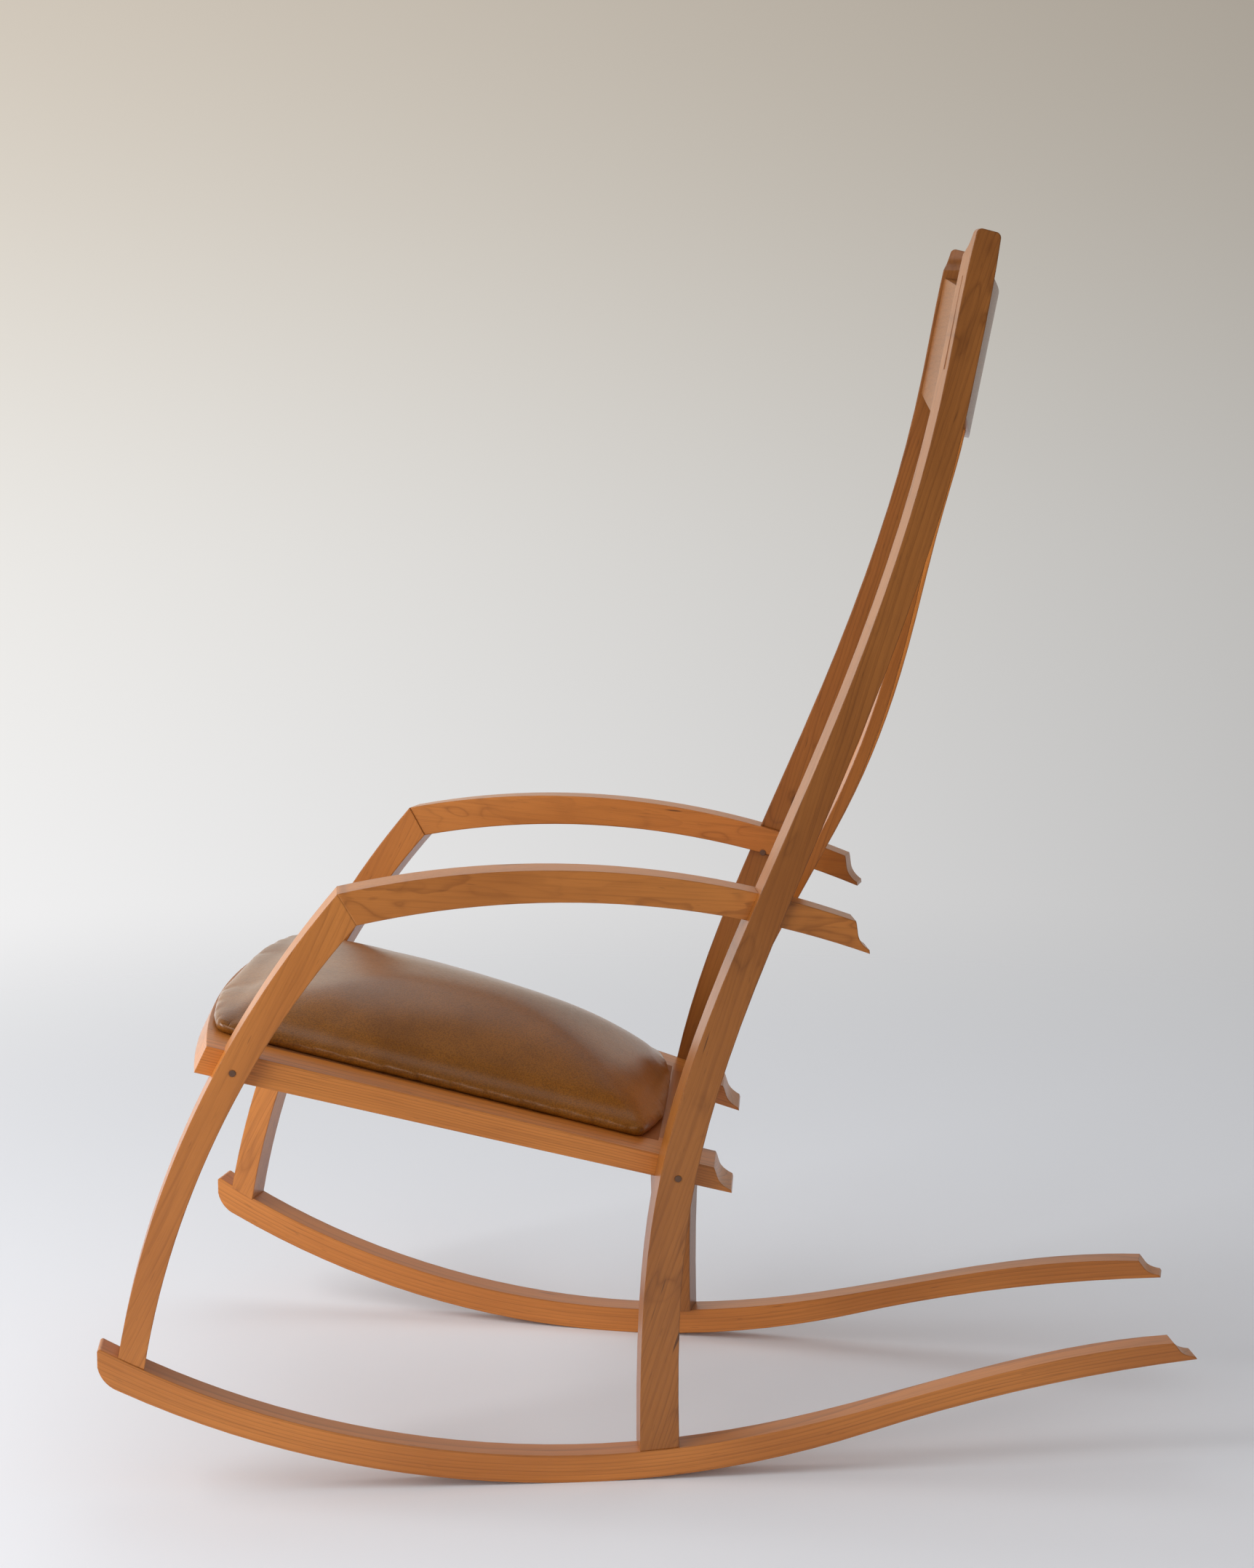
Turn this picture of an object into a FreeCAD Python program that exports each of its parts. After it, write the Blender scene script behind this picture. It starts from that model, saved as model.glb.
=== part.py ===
import math
import os

import FreeCAD
import Part

# Lengths in millimetres, angles in degrees. X points to the sitter's left, Y back, Z up.
# In the side planes reach is counted from the line where arm and post cross.
overallHeight = 1233.6
armHeight = 624.0
seatHeight = 451.0

# Side frames: two planes that splay apart towards the front and lean outward.
frameHalfWidth = 194.0
frameSplayAngle = 9.68
frameLeanAngle = 1.98

# Rockers.
rockerHalfWidth = 208.2
rockerSplayAngle = 8.95
rockerRadius = 1003.0
rockerLowReach = 210.0
rockerFrontReach = 688.0
rockerTurnSetback = 75.0
rockerTailSetback = 389.0
rockerTurnRadius = 1788.0
rockerDepth = 28.0
rockerThickness = 34.0
rockerToe = 20.0
rockerNoseCorner = 5.0
rockerDepthShares = [(-1.0, 1.22), (-0.55, 1.06), (0.0, 1.0), (0.35, 0.94), (0.7, 0.81), (1.0, 0.71)]
rockerTailThicknessShare = 0.77
toeRoundShare = 0.2

# Front legs.
legThickness = 38.0
legToeSetback = 18.0
legFootWidth = 25.0
legBow = 34.0
legPegDepthShare = 0.75

# Arms, mitred to the legs at the elbow.
elbowReach = 450.3
elbowDrop = 20.0
elbowMitre = 36.0
elbowMitreAngle = 60.0
endShare = 0.05
cornerRoundShare = 0.42
armArch = 35.6
armDepth = 26.5
armTailDrop = 57.0
armTailReach = 76.0
armThickness = 37.0
armTailThicknessShare = 0.84
armAtPostThicknessShare = 0.89

# Rear posts, set a little outside the arms.
postFootReach = 157.0
postRake = 313.0
postDepth = 40.0
postThickness = 34.5
postProud = 10.0
postShares = [(0.0, 0.0, 1.0), (0.11, 0.003, 0.935), (0.221, 0.0415, 0.9), (0.342, 0.16, 0.875),
              (0.443, 0.309, 0.84), (0.543, 0.474, 0.8), (0.635, 0.621, 0.755), (0.727, 0.75, 0.735),
              (0.818, 0.854, 0.725), (0.896, 0.92, 0.7), (0.974, 0.976, 0.67), (1.0, 1.0, 0.585)]
postTopDrop = 5.5
postTopCorner = 5.0
postCapHeight = 25.0
postCapShare = 0.75
postShelf = 28.0
postShelfDepth = 15.0
postShelfLap = 6.0
postShelfShares = (0.33, 1.6)

# Seat frame: four flat rails in one sloping plane.
seatSlopeAngle = 15.72
railNose = 20.0
railNoseLeanAngle = 11.0
railWidth = 60.0
railDepth = 29.0
railTailDepth = 21.0
railTailReach = 21.0
seatBow = 32.0
crossRailWidth = 50.0
boardThickness = 9.0
rebateWidth = 12.0

# Horn shared by rockers, arms, rails and the tops of the posts.
hornLength = 24.5
hornShares = [(0.0, 1.0), (0.16, 0.74), (0.34, 0.45), (0.62, 0.24), (0.93, 0.13)]

# Crest and slats.
crestWidth = 125.5
crestDrop = 31.5
crestTopDip = 16.0
crestLowerDip = 36.5
crestThickness = 23.0
crestBow = 25.0
crestSetback = 3.0
slatCount = 5
slatSpacing = 67.0
slatWidth = 39.0
slatThickness = 12.0
slatFootInset = 14.0
slatBelly = 34.0
slatBellyShares = [(0.0, 0.0), (0.17, 0.03), (0.335, 0.42), (0.46, 0.86), (0.59, 1.0),
                   (0.713, 0.79), (0.88, 0.3), (1.0, 0.0)]

# Cushion: a roll at the foot, then a shoulder that rises to the crown.
cushionCrown = 71.0
cushionSetback = 4.0
cushionMargin = 58.0
cushionRearMargin = 44.0
cushionRearGap = 11.0
cushionRearBow = 20.0
cushionCorner = 10.0
cushionRollHeight = 11.0
cushionRollIn = 3.0
frontShoulderReach = 290.0
rearShoulderReach = 180.0
sideShoulderReach = 185.0
shoulderShares = (0.3, 0.47)
sideShoulderShares = (0.28, 0.45)
leatherThickness = 2.0

# Joinery.
tenonLength = 20.0
tenonShoulder = 8.0
footTenonDiameter = 14.0
footTenonLength = 18.0
slatTenonLength = 14.0
pegDiameter = 6.5
pegLength = 30.0
pegProud = 0.6
tongueThickness = 9.0
tongueWidth = 18.0
tongueLength = 44.0
screwDiameter = 4.0
screwLength = 24.0
screwSpread = 110.0
clearance = 0.3
overrun = 60.0


def vec(x, y, z=0.0):
    return FreeCAD.Vector(x, y, z)


def cosSin(angle):
    return math.cos(math.radians(angle)), math.sin(math.radians(angle))


def axes(origin, along, up, out):
    return FreeCAD.Placement(origin, FreeCAD.Rotation(along, up, out, "XYZ"))


def framePlacement():
    c, s = cosSin(frameSplayAngle)
    lc, ls = cosSin(frameLeanAngle)
    return axes(vec(frameHalfWidth, 0), vec(-s, c), vec(ls * c, ls * s, lc), vec(lc * c, lc * s, -ls))


def rockerPlacement():
    c, s = cosSin(rockerSplayAngle)
    return axes(vec(rockerHalfWidth, 0), vec(-s, c), vec(0, 0, 1), vec(c, s))


def placed(shape, placement):
    moved = shape.copy()
    moved.Placement = placement.multiply(moved.Placement)
    return moved


def mirrored(shape):
    return shape.mirror(vec(0, 0), vec(1, 0))


def bothSides(shape):
    return Part.makeCompound([shape, mirrored(shape)])


def merged(shape):
    return shape.removeSplitter()


# Curves and outlines.
def line(a, b):
    return Part.LineSegment(a, b)


def bowed(a, b, rise):
    chord = b - a
    side = vec(-chord.y, chord.x) * (1 / chord.Length)
    return Part.Arc(a, (a + b) * 0.5 + side * rise, b)


def rounded(a, corner, b):
    middle = (a + b) * 0.5
    return Part.Arc(a, middle + (corner - middle) * cornerRoundShare, b)


def smooth(points):
    curve = Part.BSplineCurve()
    curve.interpolate(points)
    return curve


def closedFace(curves):
    return Part.Face(Part.Wire([curve.toShape() for curve in curves]))


def polygonFace(points):
    return Part.Face(Part.makePolygon(points + [points[0]]))


def sag(halfChord, depth, x):
    radius = (halfChord ** 2 + depth ** 2) / (2 * depth)
    return depth - radius + math.sqrt(radius ** 2 - x ** 2)


def reachAt(curve, height):
    low, high = curve.FirstParameter, curve.LastParameter
    rising = curve.value(high).y > curve.value(low).y
    for _ in range(40):
        middle = (low + high) / 2
        if (curve.value(middle).y < height) == rising:
            low = middle
        else:
            high = middle
    return curve.value(low).x


def between(shares, share):
    for low, high in zip(shares, shares[1:]):
        if share <= high[0]:
            part = (share - low[0]) / (high[0] - low[0])
            return low[1] + part * (high[1] - low[1])
    return shares[-1][1]


def hornCurves(edgeBreak, base, tip):
    points = [base + (tip - base) * run + (edgeBreak - base) * height for run, height in hornShares]
    return [smooth(points), line(points[-1], tip)]


def slab(inner, outer, placement):
    size = overallHeight * 2
    box = Part.makeBox(size * 2, size * 2, outer - inner, vec(-size, -size, inner))
    return placed(box, placement)


def tapered(shape, front, back, thickness, tailThickness):
    corners = [vec(front, 0, overrun), vec(back, 0, overrun), vec(back, 0, -tailThickness),
               vec(front, 0, -thickness)]
    wedge = polygonFace(corners).extrude(vec(0, overallHeight * 2))
    wedge.translate(vec(0, -overallHeight / 2))
    return shape.common(wedge)


# Rockers.
def rockerUnder(reach):
    run = reach + rockerLowReach
    turn = rockerTurnSetback + rockerLowReach
    if run <= turn:
        return rockerRadius - math.sqrt(rockerRadius ** 2 - run ** 2)
    sine = turn / rockerRadius - (run - turn) / rockerTurnRadius
    turnHeight = rockerRadius - math.sqrt(rockerRadius ** 2 - turn ** 2)
    turnCosine = math.sqrt(1 - (turn / rockerRadius) ** 2)
    return turnHeight + rockerTurnRadius * (math.sqrt(1 - sine ** 2) - turnCosine)


def rockerOver(reach):
    span = rockerTailSetback + rockerLowReach
    if reach < -rockerLowReach:
        span = rockerFrontReach - rockerLowReach
    return rockerUnder(reach) + rockerDepth * between(rockerDepthShares, (reach + rockerLowReach) / span)


def onUnder(reach):
    return vec(reach, rockerUnder(reach))


def onOver(reach):
    return vec(reach, rockerOver(reach))


def rockerFace():
    toe = onUnder(rockerToe - rockerFrontReach)
    turn = onUnder(rockerTurnSetback)
    tailBase = onUnder(rockerTailSetback)
    tip = onUnder(rockerTailSetback + hornLength)
    nose = onOver(-rockerFrontReach)
    chin = nose - vec(0, rockerToe)
    middle = (rockerTurnSetback + rockerTailSetback) / 2
    bulge = vec(chin.y - toe.y, toe.x - chin.x).normalize() * (-toeRoundShare * rockerToe)
    rounding = (toe + chin) * 0.5 + bulge
    noseTop = onOver(rockerNoseCorner - rockerFrontReach)
    noseEdge = nose - vec(0, rockerNoseCorner)
    stations = []
    for share, _ in rockerDepthShares:
        span = rockerTailSetback + rockerLowReach
        if share < 0:
            span = rockerFrontReach - rockerLowReach
        stations.append(onOver(share * span - rockerLowReach))
    stations[0] = noseTop
    curves = [rounded(noseTop, nose, noseEdge), line(noseEdge, chin), Part.Arc(chin, rounding, toe)]
    curves += [Part.Arc(toe, onUnder(-rockerLowReach), turn), Part.Arc(turn, onUnder(middle), tip)]
    curves += hornCurves(stations[-1], tailBase, tip)[::-1] + [smooth(stations)]
    return closedFace(curves)


def plainRocker():
    body = rockerFace().extrude(vec(0, 0, -rockerThickness))
    tailThickness = rockerThickness * rockerTailThicknessShare
    body = tapered(body, -rockerFrontReach, rockerTailSetback + hornLength, rockerThickness, tailThickness)
    return placed(body, rockerPlacement())


def rockerBed():
    body = rockerFace().extrude(vec(0, 0, -rockerThickness * 3))
    body.translate(vec(0, 0, rockerThickness))
    return placed(body, rockerPlacement())


# Front legs and arms.
def elbowPoints():
    c, s = cosSin(elbowMitreAngle)
    top = vec(-elbowReach, armHeight - elbowDrop)
    return top, top + vec(c, -s) * elbowMitre


def legCurves():
    top, lower = elbowPoints()
    front = onOver(legToeSetback - rockerFrontReach)
    back = onOver(legToeSetback + legFootWidth - rockerFrontReach)
    return bowed(front, top, legBow), bowed(back, lower, legBow)


def footDirection(curve):
    return (curve.value(curve.FirstParameter) - pointAlong(curve, endShare)).normalize()


def pointAlong(curve, share):
    return curve.value(curve.FirstParameter + share * (curve.LastParameter - curve.FirstParameter))


def plainLeg():
    front, back = legCurves()
    down = footDirection(front) * (rockerDepth / 2)
    frontFoot, backFoot = pointAlong(front, 0), pointAlong(back, 0)
    curves = [line(frontFoot + down, frontFoot), front, line(pointAlong(front, 1), pointAlong(back, 1)),
              back, line(backFoot, backFoot + down), line(backFoot + down, frontFoot + down)]
    return placed(closedFace(curves).extrude(vec(0, 0, -legThickness)), framePlacement())


def legTenon():
    front, back = legCurves()
    foot = (pointAlong(front, 0) + pointAlong(back, 0)) * 0.5
    down = footDirection(front)
    start = foot - down * footTenonLength + vec(0, 0, -rockerThickness / 2)
    peg = Part.makeCylinder(footTenonDiameter / 2, footTenonLength * 2, start, down)
    return placed(peg, framePlacement())


def armTail():
    height = armHeight - armTailDrop
    edgeBreak = vec(reachAt(postCurves()[1], height) + armTailReach, height)
    top = bowed(elbowPoints()[0], edgeBreak, armArch)
    along = (edgeBreak - pointAlong(top, 1 - endShare)).normalize()
    base = edgeBreak + vec(along.y, -along.x) * armDepth
    return top, edgeBreak, base, base + along * hornLength


def plainArm():
    elbow, lower = elbowPoints()
    top, edgeBreak, base, tip = armTail()
    curves = [line(lower, elbow), top] + hornCurves(edgeBreak, base, tip) + [bowed(tip, lower, -armArch)]
    body = closedFace(curves).extrude(vec(0, 0, -armThickness))
    tailThickness = armThickness * armTailThicknessShare
    return placed(tapered(body, elbow.x, tip.x, armThickness, tailThickness), framePlacement())


def elbowTongue():
    elbow, lower = elbowPoints()
    mitre = (lower - elbow).normalize() * (tongueWidth / 2)
    across = vec(-mitre.y, mitre.x).normalize() * (tongueLength / 2)
    middle = (elbow + lower) * 0.5
    corners = [middle - mitre - across, middle + mitre - across, middle + mitre + across,
               middle - mitre + across]
    body = polygonFace(corners).extrude(vec(0, 0, -tongueThickness))
    body.translate(vec(0, 0, (tongueThickness - armThickness) / 2))
    return placed(body, framePlacement())


# Rear posts.
def postCurves():
    foot = rockerOver(-postFootReach) - rockerDepth / 2
    front = []
    back = []
    for height, setback, depth in postShares:
        point = vec(-postFootReach + postRake * setback, foot + (overallHeight - foot) * height)
        front.append(point)
        back.append(point + vec(postDepth * depth, 0))
    return smooth(front), smooth(back)


def shortened(curve, height):
    low, high = curve.FirstParameter, curve.LastParameter
    for _ in range(40):
        middle = (low + high) / 2
        if curve.value(middle).y < height:
            low = middle
        else:
            high = middle
    cut = curve.copy()
    cut.segment(curve.FirstParameter, low)
    return cut


def postFace():
    front, back = postCurves()
    frontCorner = pointAlong(front, 1)
    backTop = overallHeight - postTopDrop
    backCorner = vec(reachAt(back, backTop), backTop)
    top = (backCorner - frontCorner).normalize() * postTopCorner
    front = shortened(front, frontCorner.y - postTopCorner)
    back = shortened(back, backTop - postTopCorner)
    frontTop, backEdge = pointAlong(front, 1), pointAlong(back, 1)
    frontRound = rounded(frontTop, frontCorner, frontCorner + top)
    slope = line(frontCorner + top, backCorner - top)
    backRound = rounded(backCorner - top, backCorner, backEdge)
    base = line(pointAlong(back, 0), pointAlong(front, 0))
    return closedFace([front, frontRound, slope, backRound, back, base])


def postCapTool():
    inner = postProud - postThickness
    low = overallHeight - postCapHeight
    points = []
    for run, height in hornShares:
        points.append(vec(0, low + postCapHeight * run / hornShares[-1][0],
                          inner + postThickness * postCapShare * (1 - height)))
    corner = vec(0, points[-1].y, inner - overrun)
    top = vec(0, points[-1].y + overrun)
    curves = [smooth(points), line(points[-1], points[-1] + vec(0, overrun)),
              line(points[-1] + vec(0, overrun), corner + vec(0, overrun)),
              line(corner + vec(0, overrun), vec(0, low, corner.z)), line(vec(0, low, corner.z), points[0])]
    tool = closedFace(curves).extrude(vec(overallHeight, 0))
    tool.translate(vec(-overallHeight / 2, 0))
    return tool


def plainPost():
    body = postFace().extrude(vec(0, 0, -postThickness))
    body.translate(vec(0, 0, postProud))
    return placed(body.cut(postCapTool()), framePlacement())


def postTenon():
    front, back = postCurves()
    foot = (pointAlong(front, 0) + pointAlong(back, 0)) * 0.5
    start = foot + vec(0, rockerDepth, (postProud - rockerThickness) / 2)
    peg = Part.makeCylinder(footTenonDiameter / 2, footTenonLength + rockerDepth / 2, start, vec(0, -1))
    return placed(peg, framePlacement())


# Seat frame. The plane of the rail tops starts at the nose of the side rails.
def inWorld(reach, height, out):
    return framePlacement().multVec(vec(reach, height, out))


def railFrontY():
    return inWorld(reachAt(legCurves()[0], seatHeight) - railNose, seatHeight, -railInset()).y


def railInset():
    return postThickness - postProud


def seatZ(y):
    return seatHeight - (y - railFrontY()) * math.tan(math.radians(seatSlopeAngle))


def postY(curve):
    y = 0
    for _ in range(6):
        y = inWorld(reachAt(curve, seatZ(y)), seatZ(y), -railInset()).y
    return y


def railOuterX(y):
    c, s = cosSin(frameSplayAngle)
    lc, ls = cosSin(frameLeanAngle)
    return frameHalfWidth - railInset() / (lc * c) - y * s / c + seatZ(y) * ls / (lc * c)


def railPlanWidth():
    slope = (railOuterX(0) - railOuterX(overrun)) / overrun
    return railWidth * math.sqrt(1 + slope ** 2)


def railPlan(inner, outer):
    front = railFrontY() - overrun
    back = overrun * 2
    corners = [vec(railOuterX(front) + outer, front), vec(railOuterX(back) + outer, back),
               vec(railOuterX(back) + inner, back), vec(railOuterX(front) + inner, front)]
    return polygonFace(corners).extrude(vec(0, 0, overallHeight))


def seatPlacement():
    c, s = cosSin(seatSlopeAngle)
    return axes(vec(0, railFrontY(), seatHeight), vec(1, 0), vec(0, c, -s), vec(0, s, c))


def seatRun(y):
    return (y - railFrontY()) / math.cos(math.radians(seatSlopeAngle))


def bowRun(x):
    return -sag(railOuterX(railFrontY()), seatBow, x)


def bowedPrism(wide, back, top, bottom):
    lean = math.tan(math.radians(railNoseLeanAngle))
    front = [vec(-wide, bowRun(wide)), vec(0, bowRun(0)), vec(wide, bowRun(wide))]
    rightBack, leftBack = vec(wide, back), vec(-wide, back)
    sides = [line(front[2], rightBack), line(rightBack, leftBack), line(leftBack, front[0])]
    face = closedFace([Part.Arc(*front)] + sides)
    face.translate(vec(0, lean * top, top))
    return placed(face.extrude(vec(0, -lean * (top - bottom), bottom - top)), seatPlacement())


def plainSideRail():
    c, s = cosSin(seatSlopeAngle)
    along = vec(0, c, -s)
    down = vec(0, -s, -c)
    tail = postY(postCurves()[1]) + railTailReach
    edgeBreak = vec(0, tail, seatZ(tail))
    nose = vec(0, railFrontY(), seatHeight) - along * overrun
    base = edgeBreak + down * railTailDepth
    tip = base + along * hornLength
    chin = nose + down * railDepth
    horn = hornCurves(edgeBreak, base, tip)
    face = closedFace([line(nose, edgeBreak)] + horn + [line(tip, chin), line(chin, nose)])
    body = face.extrude(vec(overallHeight, 0)).common(railPlan(-railPlanWidth(), 0))
    wide = railOuterX(railFrontY()) + overrun
    return body.common(bowedPrism(wide, overallHeight, overrun, -overrun * 2))


def crossRail(front, back):
    wide = railOuterX(railFrontY())
    body = bowedPrism(wide, back, 0, -railDepth)
    core = bowedPrism(wide, back - tenonShoulder, -tenonShoulder, tenonShoulder - railDepth)
    if front > 0:
        body = body.common(seatBlock(wide, front, back, 0, -railDepth))
        core = core.common(seatBlock(wide, front + tenonShoulder, back, 0, -railDepth))
    body = body.cut(bothSides(railPlan(-railPlanWidth(), overrun * 2)))
    core = core.cut(bothSides(railPlan(tenonLength - railPlanWidth(), overrun * 2)))
    return merged(body.fuse(core))


def seatBlock(wide, front, back, top, bottom):
    box = Part.makeBox(wide * 2, back - front, top - bottom, vec(-wide, front, bottom))
    return placed(box, seatPlacement())


def frontRail():
    return crossRail(0, crossRailWidth)


def rearRailBack():
    return seatRun(postY(postCurves()[1]))


def rearRail():
    return crossRail(rearRailBack() - crossRailWidth, rearRailBack())


def boardEnds():
    return crossRailWidth - rebateWidth, rearRailBack() - crossRailWidth + rebateWidth


def seatBoard():
    front, back = boardEnds()
    wide = railOuterX(railFrontY())
    board = seatBlock(wide, front, back, 0, -boardThickness)
    return board.cut(bothSides(railPlan(rebateWidth - railPlanWidth(), overrun * 2)))


def boardScrews():
    front, back = boardEnds()
    screws = []
    for run in (front + rebateWidth / 2, back - rebateWidth / 2):
        for side in (-screwSpread / 2, screwSpread / 2):
            screws.append(Part.makeCylinder(screwDiameter / 2, screwLength, vec(side, run, -railDepth)))
    return placed(Part.makeCompound(screws), seatPlacement())


def postShelfBlock():
    c, s = cosSin(frameSplayAngle)
    slope, drop = cosSin(seatSlopeAngle)
    y = (postY(postCurves()[0]) + postY(postCurves()[1])) / 2
    inner = -railInset()
    origin = vec(railOuterX(y), y, seatZ(y) - railTailDepth)
    along = vec(-s * slope, c * slope, -drop)
    out = vec(c, s)
    place = axes(origin, along, out.cross(along), out)
    shallow, deep = [-postShelfDepth * share for share in postShelfShares]
    profile = [vec(0, railTailDepth / 2, postShelfLap), vec(0, railTailDepth / 2, -postShelf),
               vec(0, shallow, -postShelf), vec(0, deep, postShelfLap)]
    block = polygonFace(profile).extrude(vec(postDepth * 4, 0))
    block.translate(vec(-postDepth * 2, 0))
    limit = postFace().extrude(vec(0, 0, inner * 4))
    return placed(block, place).common(placed(limit, framePlacement()))


# Crest and slats.
def crestEnds():
    top = overallHeight - crestDrop
    front = postCurves()[0]
    inner = -railInset()
    high = inWorld(reachAt(front, top), top, inner)
    low = inWorld(reachAt(front, top - crestWidth), top - crestWidth, inner)
    return high, low


def crestPlacement():
    high, low = crestEnds()
    rise = high - low
    rise.x = 0
    rise.normalize()
    middle = (high + low) * 0.5
    normal = vec(0, rise.z, -rise.y)
    return axes(vec(0, middle.y, middle.z) + normal * crestSetback, vec(1, 0), normal, rise)


def crestHalf():
    high, low = crestEnds()
    return (high.x + low.x) / 2


def crestBand(thickness, inset):
    half = crestHalf()
    wide = half + tenonLength * 2
    offset = (crestThickness - thickness) / 2
    ends = sag(half, crestBow, wide) + offset
    middle = crestBow + offset
    deeper = vec(0, thickness)
    left, top, right = vec(-wide, ends), vec(0, middle), vec(wide, ends)
    face = closedFace([Part.Arc(left, top, right), line(right, right + deeper),
                       Part.Arc(right + deeper, top + deeper, left + deeper), line(left + deeper, left)])
    face.translate(vec(0, 0, -crestWidth * 2))
    band = face.extrude(vec(0, 0, crestWidth * 4))
    high = crestWidth / 2 - inset
    topEnds = high - sag(half, crestTopDip, wide)
    lowEnds = -high - sag(half, crestLowerDip, wide)
    back = vec(0, -overrun * 2)
    outline = [Part.Arc(vec(-wide, 0, topEnds), vec(0, 0, high - crestTopDip), vec(wide, 0, topEnds)),
               line(vec(wide, 0, topEnds), vec(wide, 0, lowEnds)),
               Part.Arc(vec(wide, 0, lowEnds), vec(0, 0, -high - crestLowerDip), vec(-wide, 0, lowEnds)),
               line(vec(-wide, 0, lowEnds), vec(-wide, 0, topEnds))]
    front = closedFace(outline)
    front.translate(back)
    return placed(band.common(front.extrude(vec(0, overrun * 6))), crestPlacement())


def crestCore():
    beyond = bothSides(slab(tenonLength - railInset(), overallHeight, framePlacement()))
    return crestBand(crestThickness / 2, tenonShoulder * 2).cut(beyond)


def plainCrest():
    beyond = bothSides(slab(-railInset(), overallHeight, framePlacement()))
    return merged(crestBand(crestThickness, 0).cut(beyond).fuse(crestCore()))


def slatEnds(x):
    half = crestHalf()
    back = rearRailBack() - slatFootInset
    foot = seatPlacement().multVec(vec(x, back, 0))
    top = crestPlacement().multVec(vec(x, sag(half, crestBow, x) + crestThickness / 2,
                                       -crestWidth / 2 - sag(half, crestLowerDip, x)))
    return foot, top


def slat(x):
    foot, top = slatEnds(x)
    chord = top - foot
    middle = []
    for height, belly in slatBellyShares:
        middle.append(foot + chord * height + vec(0, slatBelly * belly))
    middle.insert(0, foot - (middle[1] - middle[0]).normalize() * slatTenonLength)
    middle.append(top + crestPlacement().Rotation.multVec(vec(0, 0, slatTenonLength)))
    front = []
    back = []
    for index, point in enumerate(middle):
        run = middle[min(index + 1, len(middle) - 1)] - middle[max(index - 1, 0)]
        normal = vec(0, run.z, -run.y).normalize() * (slatThickness / 2)
        front.append(point - normal)
        back.append(point + normal)
    face = closedFace([smooth(front), line(front[-1], back[-1]), smooth(back), line(back[0], front[0])])
    face.translate(vec(-slatWidth / 2, 0))
    return face.extrude(vec(slatWidth, 0))


def slats():
    first = -slatSpacing * (slatCount - 1) / 2
    return [slat(first + slatSpacing * index) for index in range(slatCount)]


# Cushion, worked out in the seat plane and then placed there.
def cushionPlan():
    frontHalf = railOuterX(railFrontY()) - cushionMargin
    backRun = rearRailBack() - slatFootInset - slatThickness - cushionRearGap - cushionRearBow
    backY = railFrontY() + backRun * math.cos(math.radians(seatSlopeAngle))
    backHalf = railOuterX(backY) - cushionRearMargin
    return frontHalf, backHalf, bowRun(frontHalf) + cushionSetback, backRun


def flipped(point):
    return vec(-point.x, point.y, point.z)


def cornerPrism(shrink):
    frontHalf, backHalf, frontRun, backRun = cushionPlan()
    frontHalf, backHalf = frontHalf - shrink, backHalf - shrink
    frontRun, backRun = frontRun + shrink, backRun - shrink
    slope = (frontHalf - backHalf) / (backRun - frontRun)
    corner = cushionCorner - shrink
    frontEdge, backEdge = vec(frontHalf, frontRun), vec(backHalf, backRun)
    front = [frontEdge - vec(corner, 0), frontEdge + vec(-slope * corner, corner)]
    back = [backEdge - vec(-slope * corner, corner), backEdge - vec(corner, 0)]
    nose = vec(0, bowRun(0) + cushionSetback + shrink)
    tail = vec(0, backRun + cushionRearBow)
    right = [rounded(front[0], frontEdge, front[1]), line(front[1], back[0])]
    right.append(rounded(back[0], backEdge, back[1]))
    bows = [Part.Arc(back[1], tail, flipped(back[1])), Part.Arc(flipped(front[0]), nose, front[0])]
    left = [rounded(flipped(back[1]), flipped(backEdge), flipped(back[0]))]
    left.append(line(flipped(back[0]), flipped(front[1])))
    left.append(rounded(flipped(front[1]), flipped(frontEdge), flipped(front[0])))
    return closedFace(right + [bows[0]] + left + [bows[1]]).extrude(vec(0, 0, cushionCrown + overrun))


def shoulderCurves(reach, shares, shrink):
    crown = cushionCrown - shrink
    roll = cushionRollHeight - shrink
    foot, waist = vec(-cushionRollIn, 0), vec(-cushionRollIn, 0, roll)
    over, rise = shares
    bend = vec(-reach * over, 0, roll + (crown - roll) * rise)
    top = vec(-reach, 0, crown)
    return [Part.Arc(foot, vec(0, 0, roll / 2), waist), Part.Arc(waist, bend, top)], foot, top


def shoulderFace(edge, core, reach, shares, shrink):
    curves, foot, top = shoulderCurves(reach, shares, shrink)
    inner, innerTop = vec(core - edge, 0), vec(core - edge, 0, top.z)
    face = closedFace(curves + [line(top, innerTop), line(innerTop, inner), line(inner, foot)])
    face.translate(vec(edge, 0))
    return face


def shoulderBlock(edge, reach, shares, shrink, turn):
    wide = overallHeight / 2
    face = shoulderFace(edge - shrink, edge - wide, reach, shares, shrink)
    face.translate(vec(0, -wide))
    block = face.extrude(vec(0, wide * 2))
    block.rotate(vec(0, 0), vec(0, 0, 1), turn)
    return block


def cushionForm(shrink):
    frontHalf, backHalf, frontRun, backRun = cushionPlan()
    form = cornerPrism(shrink)
    nose = -bowRun(0) - cushionSetback - cushionRollIn
    tail = backRun + cushionRearBow - cushionRollIn
    form = form.common(shoulderBlock(nose, frontShoulderReach, shoulderShares, shrink, -90))
    form = form.common(shoulderBlock(tail, rearShoulderReach, shoulderShares, shrink, 90))
    splay = math.atan2(frontHalf - backHalf, backRun - frontRun)
    edge = frontHalf * math.cos(splay) + frontRun * math.sin(splay)
    side = shoulderBlock(edge, sideShoulderReach, sideShoulderShares, shrink, math.degrees(splay))
    form = form.common(side).common(mirrored(side))
    form.translate(vec(0, 0, clearance))
    return placed(merged(form), seatPlacement())


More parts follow.
